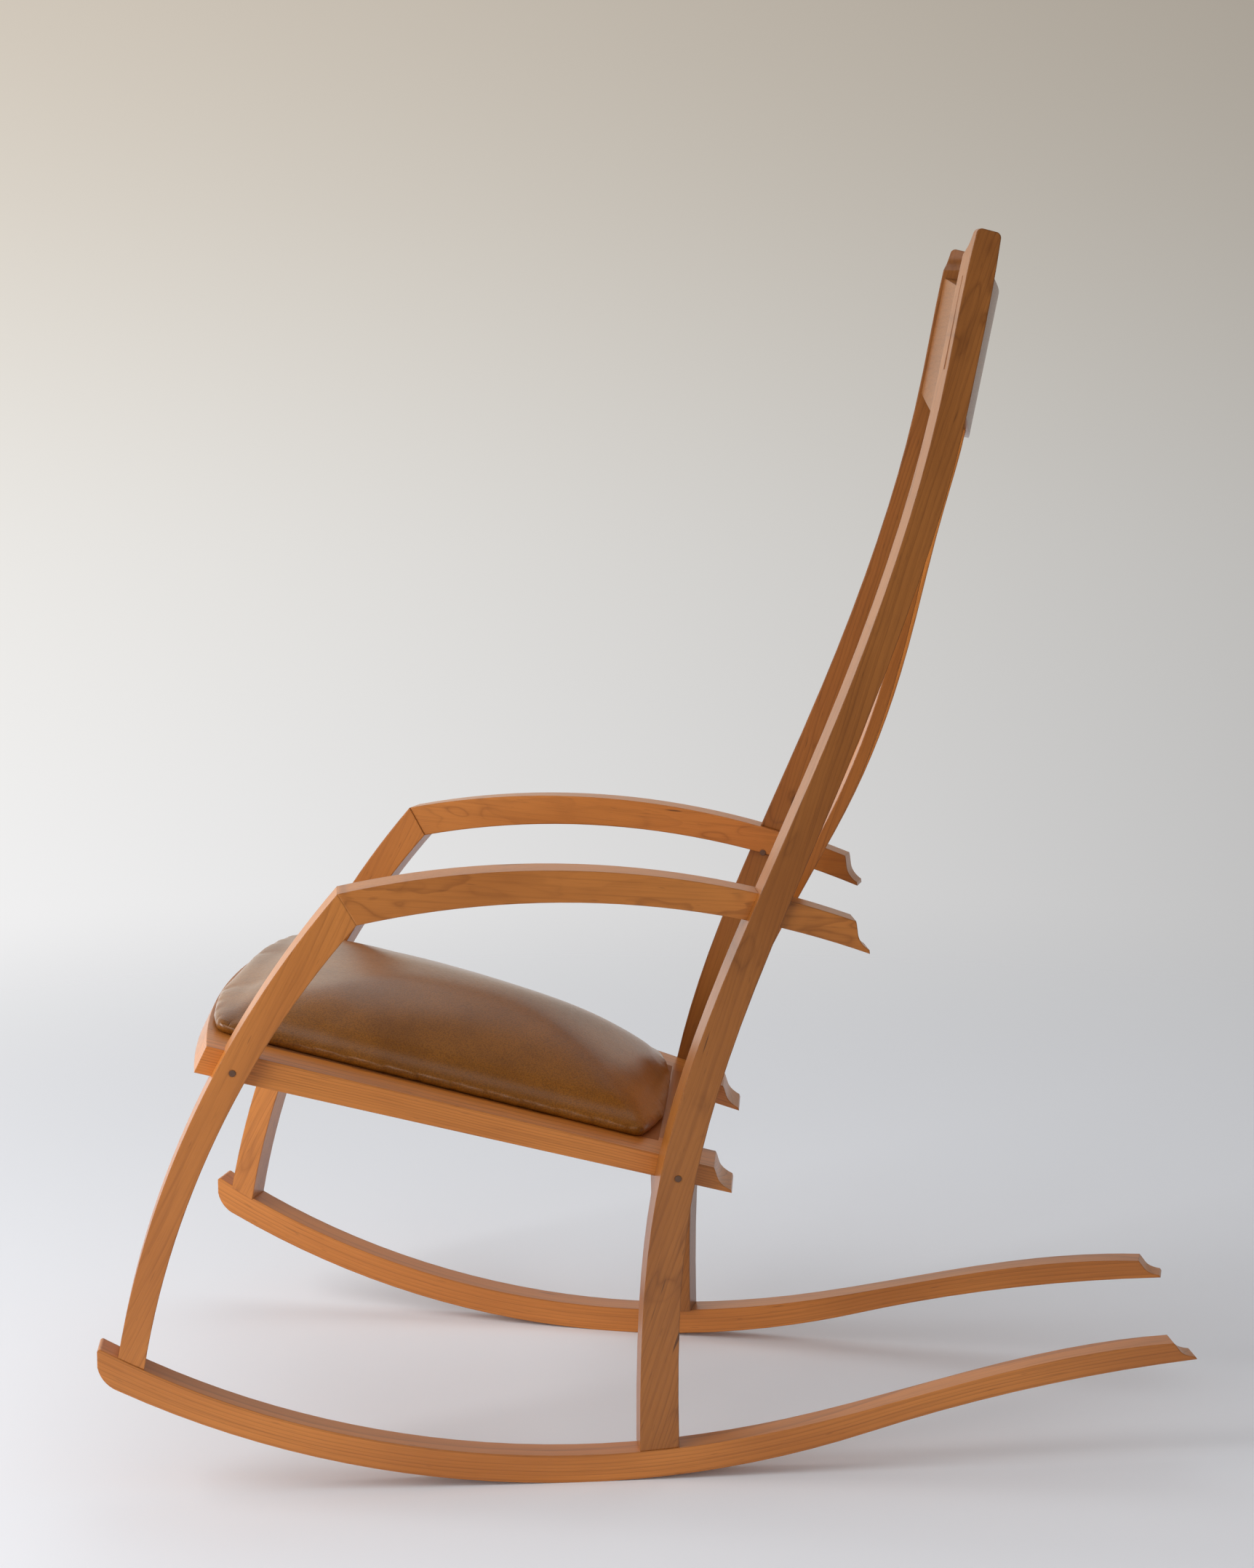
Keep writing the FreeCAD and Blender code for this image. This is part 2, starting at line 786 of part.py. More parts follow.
# Pegs.
def legPeg():
    front, back = legCurves()
    height = seatHeight - railDepth * legPegDepthShare
    reach = (reachAt(front, height) + reachAt(back, height)) / 2
    return pegAt(reach, height, pegProud, -pegLength)


def postPeg():
    front, back = postCurves()
    y = (postY(front) + postY(back)) / 2
    height = seatZ(y) - railTailDepth / 2
    reach = (reachAt(front, height) + reachAt(back, height)) / 2
    return pegAt(reach, height, postProud + pegProud, postProud - pegLength - postThickness / 2)


def armPeg():
    front, back = postCurves()
    height = armHeight - armTailDrop
    reach = (reachAt(front, height) + reachAt(back, height)) / 2
    top = armTail()[0]
    inner = armThickness * armAtPostThicknessShare
    return pegAt(reach, height, postProud / 2, -inner)


def pegAt(reach, height, outer, inner):
    peg = Part.makeCylinder(pegDiameter / 2, outer - inner, vec(reach, height, inner))
    return placed(peg, framePlacement())


def build():
    nodes = {}
    rocker = plainRocker()
    bed = rockerBed()
    rail = plainSideRail()
    arm = plainArm()
    leg = plainLeg().fuse(legTenon()).cut(bed.cut(legTenon()))
    post = plainPost().fuse(postTenon()).cut(bed.cut(postTenon()))
    crest = plainCrest()
    front, back = frontRail(), rearRail()
    board = seatBoard()
    screws = boardScrews()
    backSlats = slats()
    pegs = {"leg_pegs": legPeg(), "post_pegs": postPeg(), "arm_pegs": armPeg()}
    tongue = elbowTongue()

    rocker = rocker.cut(legTenon()).cut(postTenon())
    leg = merged(leg).cut(rail).cut(tongue).cut(pegs["leg_pegs"])
    post = merged(post).fuse(postShelfBlock()).cut(pegs["post_pegs"]).cut(pegs["arm_pegs"])
    post = post.cut(rail).cut(arm).cut(crestCore())
    arm = arm.cut(tongue).cut(pegs["arm_pegs"])
    rail = rail.cut(front).cut(back).cut(board).cut(pegs["leg_pegs"]).cut(pegs["post_pegs"])
    front = front.cut(board).cut(screws)
    for piece in backSlats:
        back = back.cut(piece)
        crest = crest.cut(piece)
    back = back.cut(board).cut(screws)
    board = board.cut(screws)

    foam = cushionForm(leatherThickness)
    sides = {"rocker": rocker, "front_leg": leg, "arm": arm, "rear_post": post, "seat_rail": rail}
    for name, shape in sides.items():
        nodes["left_" + name] = shape
        nodes["right_" + name] = mirrored(shape)
    for index, piece in enumerate(backSlats):
        nodes["back_slat_%d" % (index + 1)] = piece
    for name, shape in pegs.items():
        nodes[name] = bothSides(shape)
    nodes["elbow_tongues"] = bothSides(tongue)
    nodes["crest_rail"] = crest
    nodes["front_seat_rail"] = front
    nodes["rear_seat_rail"] = back
    nodes["seat_board"] = board
    nodes["board_screws"] = screws
    nodes["seat_foam"] = foam
    nodes["seat_leather"] = cushionForm(0).cut(foam)
    return nodes


def main():
    nodes = build()
    ends = nodes["left_rocker"].BoundBox
    os.makedirs("parts", exist_ok=True)
    for name, shape in nodes.items():
        moved = shape.copy()
        moved.translate(vec(0, -(ends.YMin + ends.YMax) / 2))
        moved.exportStep("parts/%s.step" % name)
        box = moved.BoundBox
        print(name, moved.isValid(), len(moved.Solids), round(moved.Volume),
              [round(value, 1) for value in (box.XMin, box.XMax, box.YMin, box.YMax, box.ZMin, box.ZMax)])


main()
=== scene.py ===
import math

import bpy
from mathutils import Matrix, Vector


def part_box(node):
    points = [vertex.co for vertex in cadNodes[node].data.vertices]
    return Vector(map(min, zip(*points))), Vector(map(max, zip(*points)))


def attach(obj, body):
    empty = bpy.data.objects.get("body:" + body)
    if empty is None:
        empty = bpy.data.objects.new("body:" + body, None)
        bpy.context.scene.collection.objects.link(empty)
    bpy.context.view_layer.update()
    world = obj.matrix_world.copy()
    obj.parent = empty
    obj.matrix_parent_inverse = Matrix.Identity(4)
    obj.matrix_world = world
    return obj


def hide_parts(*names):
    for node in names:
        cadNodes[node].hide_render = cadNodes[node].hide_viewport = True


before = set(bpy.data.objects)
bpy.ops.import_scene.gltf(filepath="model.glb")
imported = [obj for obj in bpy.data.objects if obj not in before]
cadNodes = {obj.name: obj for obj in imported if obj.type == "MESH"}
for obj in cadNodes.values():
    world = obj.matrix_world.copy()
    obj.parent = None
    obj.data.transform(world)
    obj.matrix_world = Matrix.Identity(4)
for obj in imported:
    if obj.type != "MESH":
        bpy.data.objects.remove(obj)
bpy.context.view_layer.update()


# helpers for objects

def onlyThis(piece):
    bpy.ops.object.select_all(action="DESELECT")
    piece.select_set(True)
    bpy.context.view_layer.objects.active = piece


def applyAll(piece):
    onlyThis(piece)
    for modifier in list(piece.modifiers):
        bpy.ops.object.modifier_apply(modifier=modifier.name)


def dress(piece, material):
    piece.data.materials.clear()
    piece.data.materials.append(material)


# helpers for shader nodes

def makeNode(tree, kind, values=None, **settings):
    made = tree.nodes.new("ShaderNode" + kind)
    for name, value in settings.items():
        setattr(made, name, value)
    for name, value in (values or {}).items():
        if hasattr(value, "is_output"):
            tree.links.new(value, made.inputs[name])
        else:
            made.inputs[name].default_value = value
    return made


def calc(tree, operation, first, second=0.0, third=0.0):
    values = {0: first, 1: second, 2: third}
    return makeNode(tree, "Math", values, operation=operation).outputs[0]


def times(tree, first, second):
    return calc(tree, "MULTIPLY", first, second)


def minus(tree, first, second):
    return calc(tree, "SUBTRACT", first, second)


def vecCalc(tree, operation, first, second=(0, 0, 0), out=0):
    values = {0: first, 1: second}
    return makeNode(tree, "VectorMath", values, operation=operation).outputs[out]


def length(tree, vector):
    return vecCalc(tree, "LENGTH", vector, out=1)


def packed(tree, x, y, z=0.0):
    return makeNode(tree, "CombineXYZ", {"X": x, "Y": y, "Z": z}).outputs[0]


def objectPlace(tree):
    return makeNode(tree, "TexCoord").outputs["Object"]


def noise(tree, place, scale=1.0, detail=3.0, rough=0.5, warp=0.0):
    values = {"Vector": place, "Scale": scale, "Detail": detail, "Roughness": rough, "Distortion": warp}
    return makeNode(tree, "TexNoise", values).outputs["Fac"]


def cellDistance(tree, place, scale, settings=None, **values):
    inputs = {"Vector": place, "Scale": scale, **values}
    return makeNode(tree, "TexVoronoi", inputs, **(settings or {})).outputs["Distance"]


def steps(tree, value, low, high, outLow=0.0, outHigh=1.0, smooth=True):
    values = {"Value": value, "From Min": low, "From Max": high, "To Min": outLow, "To Max": outHigh}
    kind = "SMOOTHSTEP" if smooth else "LINEAR"
    return makeNode(tree, "MapRange", values, interpolation_type=kind).outputs[0]


def roughFrom(tree, field, limits, band=(0.0, 1.0)):
    return steps(tree, field, *band, *limits, False)


def mixed(tree, share, first, second, blend="MIX"):
    made = tree.nodes.new("ShaderNodeMix")
    made.data_type = "RGBA"
    made.blend_type = blend
    for socket, value in ((made.inputs[0], share), (made.inputs[6], first), (made.inputs[7], second)):
        if hasattr(value, "is_output"):
            tree.links.new(value, socket)
        elif isinstance(value, (int, float)):
            socket.default_value = value
        else:
            socket.default_value = (*value[:3], 1.0)
    return made.outputs[2]


def tinted(tree, color, field, band, strength, tint):
    share = times(tree, steps(tree, field, *band), strength)
    return mixed(tree, share, color, tint)


def roundedEdges(tree, radius):
    return makeNode(tree, "Bevel", {"Radius": radius}, samples=6).outputs[0]


def bump(tree, height, strength, distance, **normal):
    values = {"Strength": strength, "Distance": distance, "Height": height, **normal}
    return makeNode(tree, "Bump", values).outputs[0]


def newMaterial(name):
    made = bpy.data.materials.new(name)
    made.use_nodes = True
    made.node_tree.nodes.clear()
    return made, made.node_tree


def joinOutput(tree, kind, shader):
    out = makeNode(tree, kind)
    tree.links.new(shader, out.inputs["Surface"])


def surface(tree, color, roughness, normal, **constants):
    values = {"Base Color": color, "Roughness": roughness, "Normal": normal}
    shader = makeNode(tree, "BsdfPrincipled", values)
    for name, value in constants.items():
        shader.inputs[name.replace("_", " ")].default_value = value
    joinOutput(tree, "OutputMaterial", shader.outputs[0])


# camera at the photograph's place, angles in degrees

cameraView = {
    "place": (2.900, 0.138, 1.0877),
    "pitch": 8.16,
    "yaw": 3.56,
    "lens": 64.15,
    "sensor": 36,
}


def placeCamera():
    data = bpy.data.cameras.new("camera")
    data.lens = cameraView["lens"]
    data.sensor_width = cameraView["sensor"]
    camera = bpy.data.objects.new("camera", data)
    camera.location = cameraView["place"]
    turn = (90 - cameraView["pitch"], 0, 90 + cameraView["yaw"])
    camera.rotation_euler = [math.radians(angle) for angle in turn]
    bpy.context.scene.collection.objects.link(camera)
    bpy.context.scene.camera = camera


placeCamera()
print("camera placed")


# studio: a pale paper floor that fades into the wall's colours, soft lamps

studio = {
    "floor": {"color": (0.85, 0.863, 0.90), "radius": 8.0, "corners": 128, "fade": (0.8, 3.2)},
    "wall": [
        (-0.42, (0.70, 0.705, 0.73)),
        (-0.22, (0.67, 0.67, 0.68)),
        (-0.06, (0.64, 0.63, 0.61)),
        (0.06, (0.54, 0.50, 0.44)),
        (0.20, (0.42, 0.36, 0.29)),
        (0.50, (0.56, 0.55, 0.56)),
    ],
    "sideways": {"within": 0.32, "gain": 1.15},
    "reflected": 1.35,
    "darkSide": {"from": -0.9, "to": -0.15, "left": 0.10},
    "skylight": {"towards": (0.55, 0.0, 0.83), "from": 0.89, "to": 0.97, "strength": 4.0},
    "daylight": 0.40,
    "lamps": [
        {"name": "window", "place": (0.9, -2.7, 1.8), "aim": (0, -0.1, 0.4),
         "size": (2.0, 2.0), "power": 70, "mirrored": True},
        {"name": "side", "place": (2.5, -1.7, 0.6), "aim": (0.2, -0.2, 0.25),
         "size": (1.4, 1.0), "power": 24, "mirrored": False},
        {"name": "overhead", "place": (-1.2, 0.2, 3.0), "aim": (0, 0.0, 0.3),
         "size": (2.2, 2.2), "power": 12, "mirrored": False},
    ],
}


def makeFloor():
    paper = studio["floor"]
    bpy.ops.object.select_all(action="DESELECT")
    bpy.ops.mesh.primitive_circle_add(vertices=paper["corners"], radius=paper["radius"],
                                      fill_type="NGON")
    floor = bpy.context.active_object
    floor.name = "floor"
    material, tree = newMaterial("paper_floor")
    fade = steps(tree, length(tree, objectPlace(tree)), *paper["fade"])
    matte = makeNode(tree, "BsdfDiffuse", {"Color": (*paper["color"], 1)}).outputs[0]
    clear = makeNode(tree, "BsdfTransparent").outputs[0]
    joined = makeNode(tree, "MixShader", {0: fade, 1: matte, 2: clear}).outputs[0]
    joinOutput(tree, "OutputMaterial", joined)
    dress(floor, material)


def wallColor(tree, rise):
    lowest, highest = studio["wall"][0][0], studio["wall"][-1][0]
    ramp = makeNode(tree, "ValToRGB", {"Fac": steps(tree, rise, lowest, highest, smooth=False)})
    ramp.color_ramp.interpolation = "B_SPLINE"
    stops = ramp.color_ramp.elements
    for index, (height, color) in enumerate(studio["wall"]):
        share = (height - lowest) / (highest - lowest)
        stop = stops[index] if index < 2 else stops.new(share)
        stop.position = share
        stop.color = (*color, 1)
    return ramp.outputs[0]


def wallStrength(tree, direction, axes, glossy):
    sideways, dark, sky = studio["sideways"], studio["darkSide"], studio["skylight"]
    edge = sideways["within"]
    aside = steps(tree, axes[1], -edge, edge, edge, -edge, False)
    brighter = calc(tree, "MULTIPLY_ADD", aside, sideways["gain"], 1.0)
    gain = calc(tree, "MULTIPLY_ADD", glossy, studio["reflected"] - 1.0, 1.0)
    room = steps(tree, axes[0], dark["from"], dark["to"], 1.0, dark["left"])
    dimmed = times(tree, glossy, minus(tree, 1.0, room))
    strength = times(tree, brighter, times(tree, gain, minus(tree, 1.0, dimmed)))
    facing = vecCalc(tree, "DOT_PRODUCT", direction, sky["towards"], out=1)
    skylight = steps(tree, facing, sky["from"], sky["to"], 0.0, sky["strength"])
    return calc(tree, "MULTIPLY_ADD", glossy, skylight, strength)


def makeWorld():
    world = bpy.data.worlds.new("studio")
    bpy.context.scene.world = world
    world.use_nodes = True
    tree = world.node_tree
    tree.nodes.clear()
    direction = makeNode(tree, "TexCoord").outputs["Generated"]
    axes = makeNode(tree, "SeparateXYZ", {0: direction}).outputs
    rays = makeNode(tree, "LightPath").outputs
    glossy = rays["Is Glossy Ray"]
    seen = calc(tree, "MAXIMUM", rays["Is Camera Ray"], glossy)
    seen = calc(tree, "MAXIMUM", seen, rays["Is Transmission Ray"])
    strength = wallStrength(tree, direction, axes, glossy)
    wall = {"Color": wallColor(tree, axes[2]), "Strength": strength}
    light = {"Color": (1, 1, 1, 1), "Strength": studio["daylight"]}
    shown = makeNode(tree, "Background", wall).outputs[0]
    lit = makeNode(tree, "Background", light).outputs[0]
    joined = makeNode(tree, "MixShader", {0: seen, 1: lit, 2: shown}).outputs[0]
    joinOutput(tree, "OutputWorld", joined)


def makeLamps():
    for lamp in studio["lamps"]:
        data = bpy.data.lights.new(lamp["name"], "AREA")
        data.shape = "RECTANGLE"
        data.size, data.size_y = lamp["size"]
        data.energy = lamp["power"]
        made = bpy.data.objects.new(lamp["name"], data)
        made.location = lamp["place"]
        made.visible_glossy = lamp["mirrored"]
        aim = Vector(lamp["aim"]) - Vector(lamp["place"])
        made.rotation_euler = aim.to_track_quat("-Z", "Y").to_euler()
        bpy.context.scene.collection.objects.link(made)


makeFloor()
makeWorld()
makeLamps()
print("studio built")


# cherry: growth rings round a pith line, fine fibres, gum flecks, softened edges
# a layer is a noise drawn out along the board, its band says where it shows
# bump holds strength and distance here and below

cherry = {
    "light": (0.56, 0.198, 0.037),
    "middle": (0.42, 0.136, 0.022),
    "deep": (0.20, 0.056, 0.008),
    "gum": (0.070, 0.022, 0.006),
    "edge": 0.0022,
    "rough": (0.31, 0.41),
    "roughBand": (0.2, 0.8),
    "bump": (0.12, 0.0003),
    "gloss": {"Specular_IOR_Level": 0.36, "Coat_Weight": 0.30, "Coat_Roughness": 0.28},
    "seedShift": 1.37,
    "slow": (4.0, 22.0),
    "ripple": (5.0, 2.6, 2.6),
    "broad": (0.7, 0.5, 0.5),
    "broadBand": (0.30, 0.70),
    "year": {"peak": 0.92, "growth": (0.10, 0.38), "ridge": (0.66, 0.62),
             "uneven": 2.2, "unevenScale": 70.0,
             "strong": (0.35, 0.70, 0.25), "strongScale": 110.0, "strongSlice": 3.0},
    "layers": {
        "streak": {"along": 7.0, "across": 330.0, "detail": 2.0, "rough": 0.5,
                   "band": (0.45, 0.80), "strength": 0.30, "tint": "deep"},
        "fibre": {"along": 26.0, "across": 1000.0, "detail": 2.0, "rough": 0.6,
                  "band": (0.50, 0.80), "strength": 0.28, "tint": "deep"},
        "fleck": {"along": 60.0, "across": 520.0, "detail": 0.0, "rough": 0.5,
                  "band": (0.74, 0.88), "strength": 0.30, "tint": "gum"},
        "gumSpot": {"along": 13.0, "across": 150.0, "detail": 1.0, "rough": 0.5,
                    "band": (0.75, 0.81), "strength": 0.75, "tint": "gum"},
    },
    "loops": {"along": 15.0, "across": 40.0, "slice": 5.0, "rough": 0.3, "warp": 0.4, "sharpness": 5.0,
              "spreadAlong": 7.0, "spreadAcross": 8.0, "spreadSlice": 9.0, "band": 0.16},
    "plain": {"wander": 0.016, "ripple": 0.003, "rings": 170.0, "figure": 0.55, "toneAndPaintedLight": 1.0},
}


def axisCoords(tree, centred, axes):
    return [vecCalc(tree, "DOT_PRODUCT", centred, tuple(axis), out=1) for axis in axes]


def arcCoords(tree, coords, arc):  # across the two bows of a rocker
    reach, rise, outward = coords
    lower = length(tree, packed(tree, reach, minus(tree, rise, arc["radius"])))
    front = minus(tree, arc["radius"], lower)
    upper = packed(tree, minus(tree, reach, arc["backReach"]), minus(tree, rise, arc["backRise"]))
    back = minus(tree, length(tree, upper), arc["backRadius"])
    after = calc(tree, "GREATER_THAN", reach, arc["turn"])
    before = minus(tree, 1.0, after)
    across = calc(tree, "ADD", times(tree, front, before), times(tree, back, after))
    return [reach, across, outward]


def drawnOut(tree, coords, along, across):
    scales = (along, across, across)
    return packed(tree, *[times(tree, coord, scale) for coord, scale in zip(coords, scales)])


def growthLines(tree, coords, wave, grain):
    year, seed = cherry["year"], grain["seed"]
    offsets = [minus(tree, coord, pith) for coord, pith in zip(coords[1:], grain["pith"])]
    radius = calc(tree, "ADD", length(tree, packed(tree, *offsets)), wave)
    uneven = noise(tree, packed(tree, times(tree, radius, year["unevenScale"]), seed), detail=1.0)
    age = calc(tree, "MULTIPLY_ADD", radius, grain["rings"], times(tree, uneven, year["uneven"]))
    age = calc(tree, "FRACT", age)
    growth, ridge = [times(tree, steps(tree, age, start, year["peak"]), strength)
                     for start, strength in (year["growth"], year["ridge"])]
    ended = steps(tree, age, year["peak"], 1.0, 1.0, 0.0)
    late = times(tree, calc(tree, "ADD", growth, ridge), ended)
    strong = packed(tree, times(tree, radius, year["strongScale"]), seed, year["strongSlice"])
    return times(tree, late, steps(tree, noise(tree, strong), *year["strong"]))


def gumLoops(tree, color, eyes, along, across):
    loops = cherry["loops"]
    fine = [times(tree, along, loops["along"]), times(tree, across, loops["across"]), loops["slice"]]
    field = noise(tree, packed(tree, *fine), detail=1.0, rough=loops["rough"], warp=loops["warp"])
    contour = calc(tree, "PINGPONG", times(tree, field, eyes["rings"]), 0.5)
    soft = calc(tree, "POWER", times(tree, contour, 2.0), loops["sharpness"])
    wide = [times(tree, along, loops["spreadAlong"]), times(tree, across, loops["spreadAcross"])]
    spread = noise(tree, packed(tree, *wide, loops["spreadSlice"]), detail=0.0)
    where = steps(tree, spread, eyes["from"], eyes["from"] + loops["band"])
    share = times(tree, times(tree, soft, where), eyes["strength"])
    return mixed(tree, share, color, cherry["deep"])


def cherryMaterial(name, settings):
    grain = {**cherry["plain"], **settings}
    material, tree = newMaterial(name)
    centred = vecCalc(tree, "SUBTRACT", objectPlace(tree), tuple(grain["centre"]))
    coords = axisCoords(tree, centred, grain["axes"])
    if "arc" in grain:
        coords = arcCoords(tree, coords, grain["arc"])
    along, across, deep = coords
    shifted = calc(tree, "ADD", along, grain["seed"] * cherry["seedShift"])
    coords = [shifted, across, deep]
    slow = drawnOut(tree, coords, *cherry["slow"])
    wander = noise(tree, slow, detail=1.0)
    ripple = noise(tree, vecCalc(tree, "MULTIPLY", slow, cherry["ripple"]), detail=1.5)
    wave = calc(tree, "MULTIPLY_ADD", wander, grain["wander"], times(tree, ripple, grain["ripple"]))
    lines = growthLines(tree, coords, wave, grain)
    broad = noise(tree, vecCalc(tree, "MULTIPLY", slow, cherry["broad"]), detail=2.0)
    color = mixed(tree, steps(tree, broad, *cherry["broadBand"]), cherry["middle"], cherry["light"])
    if "eyes" in grain:
        color = gumLoops(tree, color, grain["eyes"], shifted, across)
    color = mixed(tree, times(tree, lines, grain["figure"]), color, cherry["deep"])
    fields = {}
    for key, layer in cherry["layers"].items():
        place = drawnOut(tree, coords, layer["along"], layer["across"])
        fields[key] = noise(tree, place, detail=layer["detail"], rough=layer["rough"])
        tint = cherry[layer["tint"]]
        color = tinted(tree, color, fields[key], layer["band"], layer["strength"], tint)
    # the tone multiplier also paints light and shade: whole boards are made lighter or darker to stand
    # in for how much lamp light falls on them
    color = mixed(tree, 1.0, color, (grain["toneAndPaintedLight"],) * 3, "MULTIPLY")
    rough = roughFrom(tree, fields["fibre"], cherry["rough"], cherry["roughBand"])
    edges = roundedEdges(tree, cherry["edge"])
    normal = bump(tree, fields["fibre"], *cherry["bump"], Normal=edges)
    surface(tree, color, rough, normal, **cherry["gloss"])
    return material


# side frames: boards flat on a splayed and leaned plane, places given on that plane

sides = ((1, "left_"), (-1, "right_"))
sidePlane = {"splay": 9.68, "lean": 1.98, "halfWidth": 0.194, "shift": 0.1382}
sideBoards = {
    "front_leg": {
        "angle": 63.0, "middle": (-0.55, 0.40), "pith": (0.10, -0.12), "seed": 1.3,
        "wander": 0.020, "figure": 0.42, "eyes": {"rings": 4.0, "from": 0.50, "strength": 0.35},
    },
    "arm": {
        "angle": -4.0, "middle": (-0.20, 0.60), "pith": (-0.012, -0.13), "seed": 2.1,
        "wander": 0.018, "ripple": 0.007, "rings": 210.0, "figure": 0.40,
        "eyes": {"rings": 4.0, "from": 0.44, "strength": 0.50},
    },
    "rear_post": {
        "angle": 73.0, "middle": (-0.02, 0.62), "pith": (0.16, -0.10), "seed": 3.7,
        # the tone multiplier here is painted shade: the posts are darkened for their dim upper parts,
        # the far right post more for its shaded inner face
        "wander": 0.012, "rings": 230.0, "figure": 0.55, "toneAndPaintedLight": 0.70, "right": {"toneAndPaintedLight": 0.60},
        "eyes": {"rings": 4.0, "from": 0.46, "strength": 0.45},
    },
    "seat_rail": {
        "angle": -15.5, "middle": (-0.32, 0.37), "pith": (0.22, -0.08), "seed": 4.4,
        # the tone multiplier here is painted light: the rails are brightened for the floor bounce
        # lighting their sides
        "wander": 0.004, "ripple": 0.0012, "rings": 360.0, "figure": 0.55, "toneAndPaintedLight": 1.14,
    },
}
rightSeedShift = 5.3


def planeAxes():
    splay, lean = math.radians(sidePlane["splay"]), math.radians(sidePlane["lean"])
    reach = Vector((-math.sin(splay), math.cos(splay), 0))
    flat = math.cos(lean)
    outward = Vector((flat * math.cos(splay), flat * math.sin(splay), -math.sin(lean)))
    return reach, outward.cross(reach), outward


def boardAxes(angle, side):
    reach, rise, outward = planeAxes()
    turn = math.radians(angle)
    along = reach * math.cos(turn) + rise * math.sin(turn)
    across = rise * math.cos(turn) - reach * math.sin(turn)
    return [Vector((axis.x * side, axis.y, axis.z)) for axis in (along, across, outward)]


def dressSides():
    reach, rise, outward = planeAxes()
    for name, board in sideBoards.items():
        for side, label in sides:
            middle = Vector((sidePlane["halfWidth"], sidePlane["shift"], 0))
            middle = middle + reach * board["middle"][0] + rise * board["middle"][1]
            grain = {**board, "axes": boardAxes(board["angle"], side),
                     "centre": (middle.x * side, middle.y, middle.z)}
            if side < 0:
                grain.update(board.get("right", {}), seed=board["seed"] + rightSeedShift)
            dress(cadNodes[label + name], cherryMaterial("cherry_" + label + name, grain))


dressSides()
print("side frames dressed")


# rockers: the figure follows their bows

rocker = {
    "splay": 8.95, "halfWidth": 0.2082, "back": 0.210, "pith": (0.35, -0.08), "seed": 6.2,
    # the tone multiplier here is painted light: the rockers are brightened for the floor bounce lighting
    # their sides
    "wander": 0.004, "ripple": 0.0010, "rings": 230.0, "figure": 0.50, "toneAndPaintedLight": 1.06,
    "arc": {"radius": 1.003, "turn": 0.285, "backRadius": 1.788, "backReach": 0.793, "backRise": -1.673},
}


def dressRockers():
    splay = math.radians(rocker["splay"])
    for side, label in sides:
        along = Vector((-math.sin(splay) * side, math.cos(splay), 0))
        outward = Vector((math.cos(splay) * side, math.sin(splay), 0))
        start = Vector((rocker["halfWidth"] * side, sidePlane["shift"], 0)) - along * rocker["back"]
        grain = {**rocker, "axes": [along, Vector((0, 0, 1)), outward], "centre": tuple(start),
                 "seed": rocker["seed"] + side}
        dress(cadNodes[label + "rocker"], cherryMaterial("cherry_" + label + "rocker", grain))


dressRockers()
print("rockers dressed")


# slats, crest and cross rails: the lean gives a board's rise as parts of y and z

slats = {
    "lean": (0.32, 0.947), "count": 5, "pithStep": 0.03, "pithMiddle": 3.4, "pithDeep": 0.11,
    # the tone multiplier here is painted light: the slats are brightened for the window light falling on
    # their edges
    "firstSeed": 8.0, "seedStep": 1.9, "grain": {"wander": 0.010, "figure": 0.40, "toneAndPaintedLight": 1.26},
}
crossRails = {
    "lean": (0.27, 0.963), "grain": {"wander": 0.018, "figure": 0.30},
    "boards": {
        # the crest rail's tone multiplier is painted shade: it darkens the front face so it shows less
        # of the window light
        "crest_rail": {"pith": (-0.09, 0.03), "seed": 21.0, "toneAndPaintedLight": 0.55},
        "front_seat_rail": {"pith": (0.05, -0.12), "seed": 23.0, "toneAndPaintedLight": 0.95},
        "rear_seat_rail": {"pith": (0.04, 0.09), "seed": 25.0, "toneAndPaintedLight": 0.85},
    },
}


def leaned(lean):
    return Vector((0, lean[0], lean[1])), Vector((0, lean[1], -lean[0]))


def dressBoard(name, axes, values):
    low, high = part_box(name)
    grain = {**values, "axes": axes, "centre": tuple((low + high) / 2)}
    dress(cadNodes[name], cherryMaterial("cherry_" + name, grain))


def dressBack():
    sideways = Vector((1, 0, 0))
    rise, depth = leaned(slats["lean"])
    for index in range(1, slats["count"] + 1):
        pith = (slats["pithStep"] * (index - slats["pithMiddle"]), slats["pithDeep"])
        seed = slats["firstSeed"] + index * slats["seedStep"]
        values = {**slats["grain"], "pith": pith, "seed": seed}
        dressBoard("back_slat_%d" % index, [rise, sideways, depth], values)
    rise, depth = leaned(crossRails["lean"])
    for name, board in crossRails["boards"].items():
        dressBoard(name, [sideways, rise, depth], {**crossRails["grain"], **board})


dressBack()
print("slats and rails dressed")


# pegs, tongues, seat board and screws

seatSlope = 15.72
pegLook = {
    "dark": (0.085, 0.040, 0.022), "light": (0.15, 0.070, 0.036), "pore": (0.03, 0.014, 0.008),
    "cells": 2600.0, "pores": (0.1, 0.5, 0.35, 0.0), "mottle": 420.0, "edge": 0.0006,
    "rough": (0.38, 0.52), "bump": (0.15, 0.0002),
}
plywoodLook = {
    "dark": (0.30, 0.105, 0.022), "light": (0.42, 0.150, 0.034), "layer": (0.20, 0.068, 0.016),
    "ply": 0.003, "band": (0.45, 0.55), "strength": 0.35, "streak": (9.0, 260.0, 260.0),
    "rough": (0.60, 0.75), "bump": (0.20, 0.0002),
}
screwLook = {
    "dark": (0.52, 0.52, 0.50), "light": (0.68, 0.68, 0.66), "mottle": 900.0,
    "rough": (0.28, 0.42), "bump": (0.10, 0.0001), "gloss": {"Metallic": 1.0},
}
tongueGrain = {"angle": 60, "centre": (0, 0, 0), "pith": (0.3, 0.2), "seed": 31.0}


